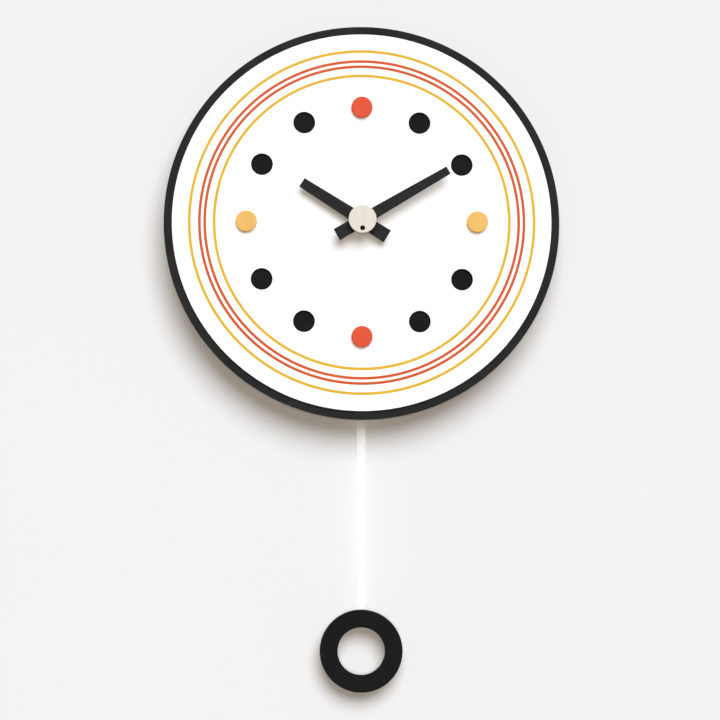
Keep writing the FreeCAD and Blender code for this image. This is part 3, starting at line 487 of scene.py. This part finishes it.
bm = bmesh.new()
RP = (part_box("dial_panel")[1].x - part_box("dial_panel")[0].x) / 2 / MM
loops = [(RP, 0.0, 0.0, 384, 0.4, +1), (4.3, 0.0, 0.0, 64, 0.15, -1)]
for hour in (1, 2, 4, 5, 7, 8, 10, 11):
    a = math.radians(30 * hour)
    loops.append((8.2, 87.5 * math.sin(a), 87.5 * math.cos(a), 96, 0.3, -1))
front_edges, back_edges = [], []
for r, cx, cz, seg, rd, side in loops:
    levels = [(r - side * rd, p1)] if rd else []
    levels = [(r - side * rd + side * rd * math.sin(math.radians(t)), p1 - rd + rd * math.cos(math.radians(t)))
              for t in (0, 22.5, 45, 67.5, 90)] + [(r, p0)]
    rings = [[bm.verts.new(c) for c in ring_points(rr, dd, cx, cz, seg)] for rr, dd in levels]
    for i in range(len(rings) - 1):
        for k in range(seg):
            k2 = (k + 1) % seg
            bm.faces.new((rings[i][k], rings[i + 1][k], rings[i + 1][k2], rings[i][k2]))
    front_edges += [bm.edges.get((rings[0][k], rings[0][(k + 1) % seg])) for k in range(seg)]
    back_edges += [bm.edges.get((rings[-1][k], rings[-1][(k + 1) % seg])) for k in range(seg)]
for edges in (front_edges, back_edges):
    bmesh.ops.triangle_fill(bm, use_beauty=True, use_dissolve=False, edges=edges, normal=(0, -1, 0))
panel = link_mesh("white_dial_panel", bm, mats["white_dial"], "clock_body")
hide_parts("dial_panel")

# ================================================================ raised coloured hour discs
for name, slot, hours in (("red_hour_discs", "red_lacquer", (12, 6)), ("yellow_hour_discs", "yellow_lacquer", (3, 9))):
    q0, q1 = y_range(name)
    bm = bmesh.new()
    for hour in hours:
        a = math.radians(30 * hour)
        turned(bm, [(0, q0), (7.95, q0)] + arc(7.95 - 0.45, q1 - 0.45, 0.45, 0, 90, 5) + [(4.0, q1), (0, q1)],
               87.5 * math.sin(a), 87.5 * math.cos(a), seg=128, closed=False)
    o = link_mesh(name + "_lacquered", bm, mats[slot], "clock_body")
    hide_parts(name)

# ================================================================ printed rings
ink_yellow = lacquer_colour("ink_yellow", (0.685, 0.397, 0.008), 0.5)
ink_red = lacquer_colour("ink_red", (0.585, 0.078, 0.006), 0.5)
for name, r, width, material, slot in (
        ("printed_ring_yellow_outer", 130.6, 2.1, ink_yellow, "yellow_lacquer"),
        ("printed_ring_red_outer", 122.9, 2.1, ink_red, "red_lacquer"),
        ("printed_ring_red_inner", 118.9, 2.1, ink_red, "red_lacquer"),
        ("printed_ring_yellow_inner", 111.8, 2.1, ink_yellow, "yellow_lacquer")):
    bm = bmesh.new()
    h = width / 2
    turned(bm, [(r - h, p1 - 0.02), (r - h, p1 + 0.025), (r - h + 0.06, p1 + 0.04), (r + h - 0.06, p1 + 0.04),
                (r + h, p1 + 0.025), (r + h, p1 - 0.02)], seg=384)
    link_mesh(name, bm, material, "clock_body")

# ================================================================ stage: wall, floor, lights
def stage_plane(name, corners, material):
    me = bpy.data.meshes.new(name)
    me.from_pydata(corners, [], [(0, 1, 2, 3)])
    o = bpy.data.objects.new(name, me)
    scene.collection.objects.link(o)
    me.materials.append(material)
    o.visible_diffuse = name != "stage_floor"           # no light from the floor, so that top and bottom are lit alike
    return o


def one_sided(m, lets_light_through):
    """The surface is only there from its front, so that the clock can be seen from behind it."""
    geo = m.node("ShaderNodeNewGeometry")
    clear = m.node("ShaderNodeBsdfTransparent")
    ms = m.node("ShaderNodeMixShader")
    if lets_light_through:
        path = m.node("ShaderNodeLightPath")
        either = m.node("ShaderNodeMath", operation="MAXIMUM")
        m.link(geo.outputs["Backfacing"], either.inputs[0])
        m.link(path.outputs["Is Shadow Ray"], either.inputs[1])
        m.link(either.outputs[0], ms.inputs[0])
    else:
        m.link(geo.outputs["Backfacing"], ms.inputs[0])
    m.link(m.b.outputs["BSDF"], ms.inputs[1])
    m.link(clear.outputs[0], ms.inputs[2])
    m.link(ms.outputs[0], m.out.inputs["Surface"])
    return m.m


def wall_paint():
    m = Mat("wall_paint", rough=0.9, specular=0.1)
    m.colour(m.noise(2.0, 3.0, 0.5), [(0.3, (0.735, 0.735, 0.735)), (0.7, (0.745, 0.745, 0.745))])
    return one_sided(m, True)


def floor_paint():
    m = Mat("floor_paint", rough=0.8, specular=0.2)
    m.colour(m.noise(3.0, 3.0, 0.5), [(0.3, (0.835, 0.80, 0.765)), (0.7, (0.85, 0.815, 0.78))])
    return one_sided(m, False)


WALL_Y = 0.0004
stage_plane("stage_wall", [(-1.8, WALL_Y, -1.6), (1.8, WALL_Y, -1.6), (1.8, WALL_Y, 1.6), (-1.8, WALL_Y, 1.6)], wall_paint())
stage_plane("stage_floor", [(-1.8, -2.4, -1.6), (1.8, -2.4, -1.6), (1.8, 2.4, -1.6), (-1.8, 2.4, -1.6)], floor_paint())


def lamp(name, kind, at, target, power, colour=(1, 1, 1), glossy=True, **size):
    L = bpy.data.lights.new(name, kind)
    L.energy = power
    L.color = colour
    for k, v in size.items():
        setattr(L, k, v)
    o = bpy.data.objects.new(name, L)
    scene.collection.objects.link(o)
    o.location = at
    o.rotation_mode = "QUATERNION"
    o.rotation_quaternion = (Vector(target) - Vector(at)).to_track_quat("-Z", "Y")
    o.visible_camera = False
    o.visible_glossy = glossy
    return o


# A large soft key from above and a little to the right, a soft fill from beside the camera, and a fill for the back.
# The key is slightly cool and the fill slightly warm, so that the shadows on the wall turn warm.
mid = Vector((0.0, 0.0, ZC - 0.10))
KEY, FILL, AMBIENT = 0.83, 0.275, 0.105
# Every piece but the white rod. The rod is translucent: it throws no shadow, and the back's lights, which shine
# through the wall's plane, are kept off it, because it would throw them back at the wall.
all_but_rod = bpy.data.collections.new("all_but_rod")
for o in scene.objects:
    if o.type == "MESH" and not o.name.startswith("stage_") and o is not N["pendulum_rod"]:
        all_but_rod.objects.link(o)
key_dir = Vector((0.15, -1.0, 0.53)).normalized()
key_soft = lamp("key_soft", "SUN", mid + key_dir * 2.5, mid, math.pi * KEY / -key_dir.y, (0.94, 1.0, 1.062), angle=math.radians(42))
fill_dir = back.normalized()
fill_soft = lamp("fill_soft", "SUN", mid + fill_dir * 3.0, mid, math.pi * FILL / -fill_dir.y, (1.17, 1.0, 0.83), False, angle=math.radians(8))

for o in (key_soft, fill_soft):
    o.light_linking.blocker_collection = all_but_rod
for name, at, power, size in (("key_rear", (0.45, 0.95, 0.40), 17.0, 0.6), ("fill_rear", (-0.60, 0.95, -0.40), 8.0, 0.8)):
    o = lamp(name, "AREA", mid + Vector(at), mid, power, size=size)
    o.light_linking.receiver_collection = all_but_rod
rod_only = bpy.data.collections.new("rod_only")
rod_only.objects.link(N["pendulum_rod"])
o = lamp("rod_rear", "AREA", mid + Vector((0.1, 1.2, 0.2)), mid, 7.0, size=0.6)
o.light_linking.receiver_collection = rod_only

world = bpy.data.worlds.new("world")
scene.world = world
world.use_nodes = True
bg = world.node_tree.nodes["Background"]
bg.inputs["Color"].default_value = (1.12, 1.0, 0.86, 1.0)
bg.inputs["Strength"].default_value = AMBIENT
seen = world.node_tree.nodes.new("ShaderNodeBackground")
seen.inputs["Color"].default_value = (0.86, 0.86, 0.86, 1.0)
pick = world.node_tree.nodes.new("ShaderNodeMixShader")
path = world.node_tree.nodes.new("ShaderNodeLightPath")
world.node_tree.links.new(path.outputs["Is Camera Ray"], pick.inputs[0])
world.node_tree.links.new(bg.outputs[0], pick.inputs[1])
world.node_tree.links.new(seen.outputs[0], pick.inputs[2])
world.node_tree.links.new(pick.outputs[0], world.node_tree.nodes["World Output"].inputs["Surface"])
